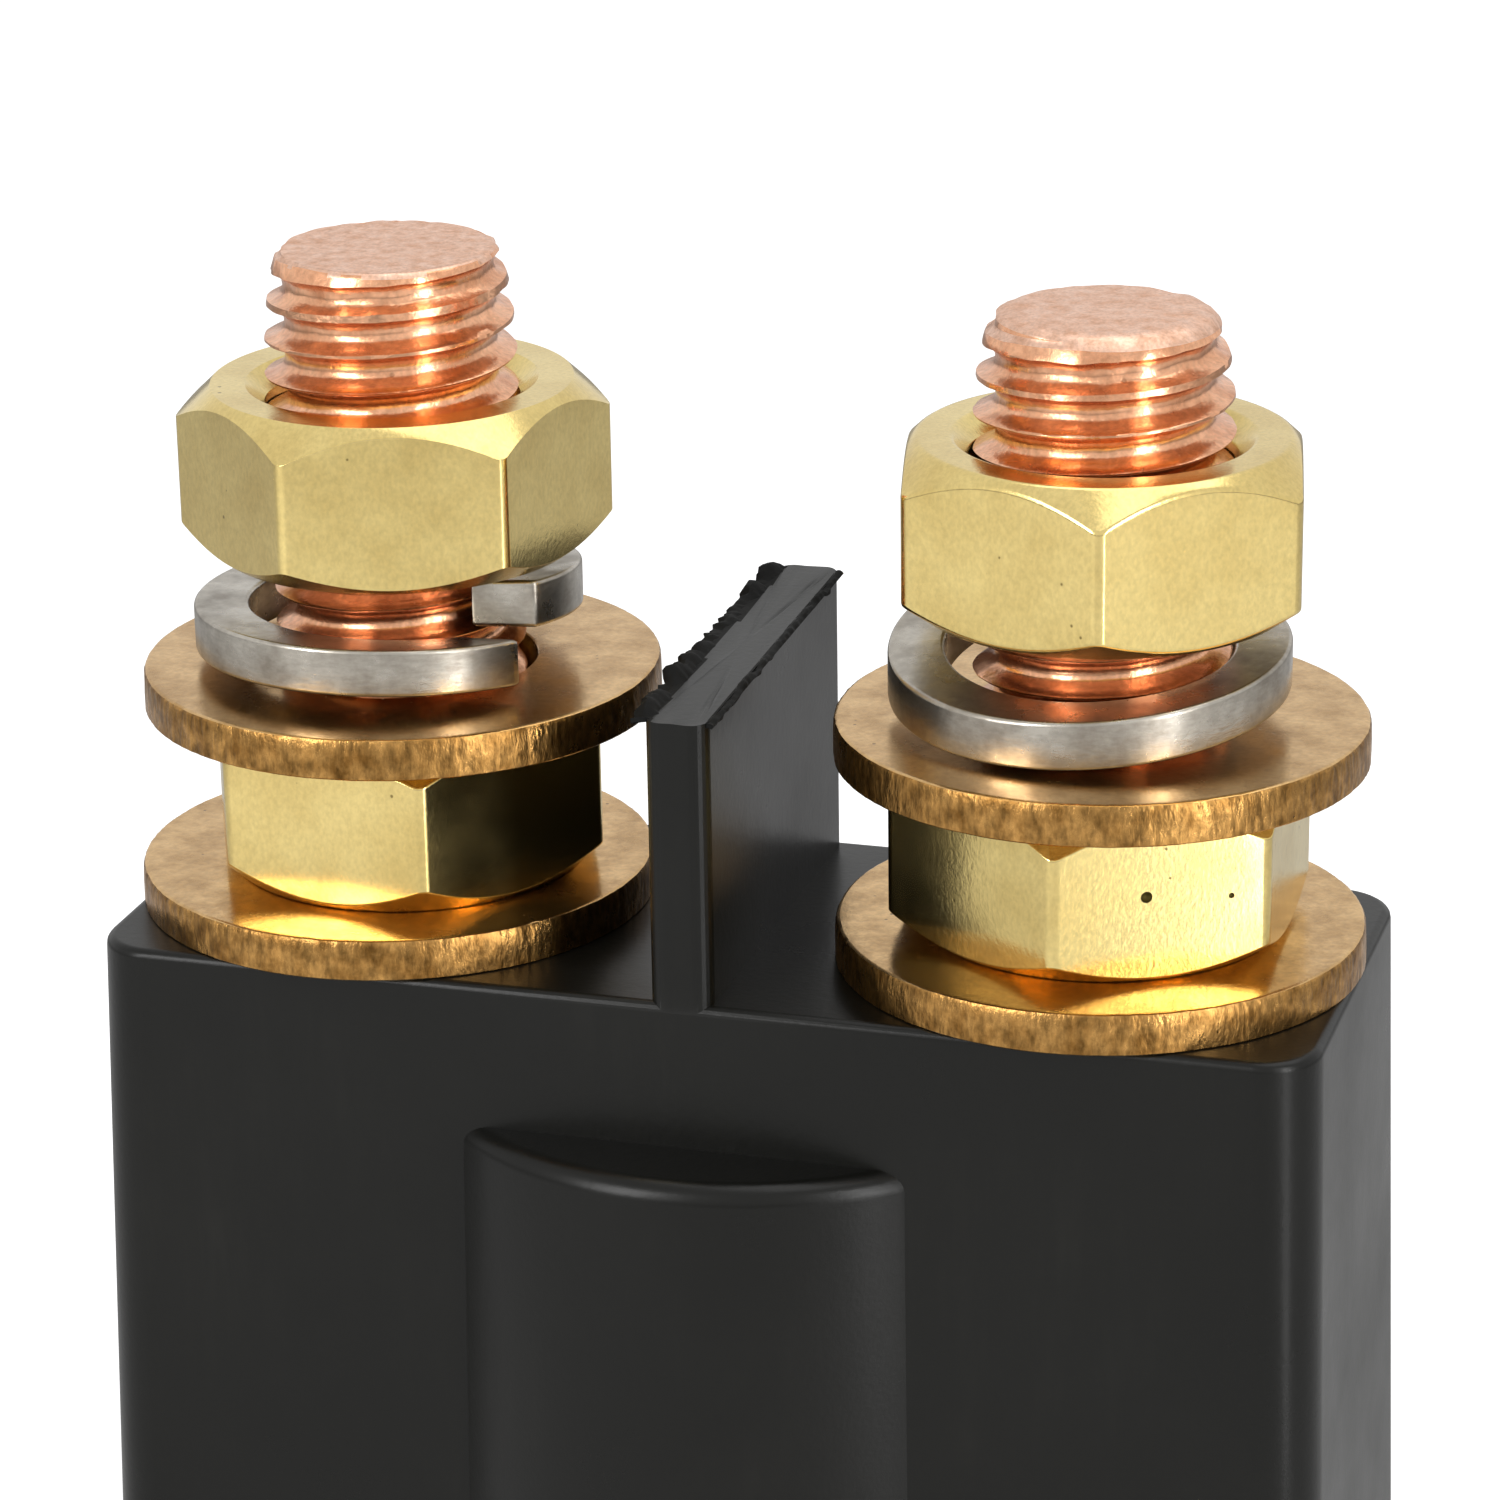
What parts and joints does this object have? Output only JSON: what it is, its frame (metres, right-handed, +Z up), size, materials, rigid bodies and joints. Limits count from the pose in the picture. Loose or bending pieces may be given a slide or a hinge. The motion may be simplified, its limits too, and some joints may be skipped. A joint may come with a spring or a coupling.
{
  "type": "battery isolator relay",
  "caption": "Battery isolator relay: black moulded contact chamber with two copper terminal studs and a barrier between them, above a plunger solenoid on a slotted mounting bracket.",
  "frame": {"origin": "centre of the underside of the mounting bracket", "axes": "+Z up, along the terminal studs and the plunger's travel; X along the row of the two terminal studs; the coil terminals point along -Y, which is the pictured front"},
  "size_m": [0.086, 0.0496, 0.1252],
  "materials": {
    "cover_plastic": "moulded thermoset plastic, charcoal black, soft sheen",
    "stud_copper": "rolled-thread copper, worn crests",
    "bridge_copper": "pressed copper bar",
    "nut_brass": "yellow brass, machined from hexagon bar",
    "washer_bronze": "stamped bronze, brushed faces and sheared rims",
    "spring_steel": "spring steel, dull grey",
    "zinc_steel": "zinc-plated sheet steel",
    "screw_steel": "zinc-plated screws and washers",
    "core_iron": "turned soft iron",
    "rod_steel": "turned stainless steel",
    "tube_brass": "drawn brass tube",
    "winding_copper": "enamelled copper wire",
    "coil_tape": "black polyester tape",
    "bobbin_nylon": "glass-filled nylon, moulded",
    "bush_nylon": "natural nylon, turned",
    "phenolic": "brown phenolic laminate",
    "stop_rubber": "moulded rubber",
    "contact_silver": "silver alloy contact"
  },
  "bodies": {
    "housing": {"mounting_bracket": "zinc_steel", "bracket_screws": "screw_steel", "magnet_frame": "zinc_steel", "pole_plate": "zinc_steel", "insulating_plate": "phenolic", "fixed_core": "core_iron", "guide_tube": "tube_brass", "plunger_stop": "stop_rubber", "coil_bobbin": "bobbin_nylon", "coil_winding": "winding_copper", "coil_wrap": "coil_tape", "coil_leads": "winding_copper", "coil_stud_left": "nut_brass", "coil_stud_right": "nut_brass", "coil_washers": "screw_steel", "coil_nuts": "nut_brass", "contact_cover": "cover_plastic", "cover_screws": "screw_steel", "stud_left": "stud_copper", "stud_right": "stud_copper", "fixed_tip_left": "contact_silver", "fixed_tip_right": "contact_silver", "lower_washer_left": "washer_bronze", "lower_washer_right": "washer_bronze", "lower_nut_left": "nut_brass", "lower_nut_right": "nut_brass", "return_spring": "spring_steel"},
    "armature": {"plunger": "core_iron", "push_rod": "rod_steel", "spring_seat": "bush_nylon", "cap_washer": "bush_nylon", "rod_clip": "spring_steel", "contact_spring": "spring_steel"},
    "bridge": {"contact_bridge": "bridge_copper", "moving_tips": "contact_silver"},
    "left_stack": {"upper_washer_left": "washer_bronze", "spring_washer_left": "spring_steel"},
    "right_stack": {"upper_washer_right": "washer_bronze", "spring_washer_right": "spring_steel"},
    "left_nut": {"upper_nut_left": "nut_brass"},
    "right_nut": {"upper_nut_right": "nut_brass"}
  },
  "joints": [
    {"name": "armature_lift", "type": "slide", "parent": "housing", "child": "armature", "axis": [0, 0, 1], "range_m": [0, 0.004], "stiffness_N_per_m": 500, "springref_m": -0.006, "deforming": ["return_spring", "contact_spring"]},
    {"name": "bridge_give", "type": "slide", "parent": "armature", "child": "bridge", "axis": [0, 0, 1], "range_m": [-0.001, 0]},
    {"name": "left_stack_lift", "type": "slide", "parent": "housing", "child": "left_stack", "axis": [0, 0, 1], "range_m": [0, 0.00525]},
    {"name": "right_stack_lift", "type": "slide", "parent": "housing", "child": "right_stack", "axis": [0, 0, 1], "range_m": [0, 0.00525]},
    {"name": "left_nut_turn", "type": "hinge", "parent": "left_stack", "child": "left_nut", "pos_m": [-0.01725, 0, 0.115], "axis": [0, 0, 1], "range_deg": [0, 1080]},
    {"name": "right_nut_turn", "type": "hinge", "parent": "right_stack", "child": "right_nut", "pos_m": [0.01725, 0, 0.115], "axis": [0, 0, 1], "range_deg": [0, 1080]}
  ],
  "couplings": [
    {"joint": "bridge_give", "follows": "armature_lift", "ratio": -0.25},
    {"joint": "left_stack_lift", "follows": "left_nut_turn", "m_per_rad": 0.00027852},
    {"joint": "right_stack_lift", "follows": "right_nut_turn", "m_per_rad": 0.00027852}
  ]
}
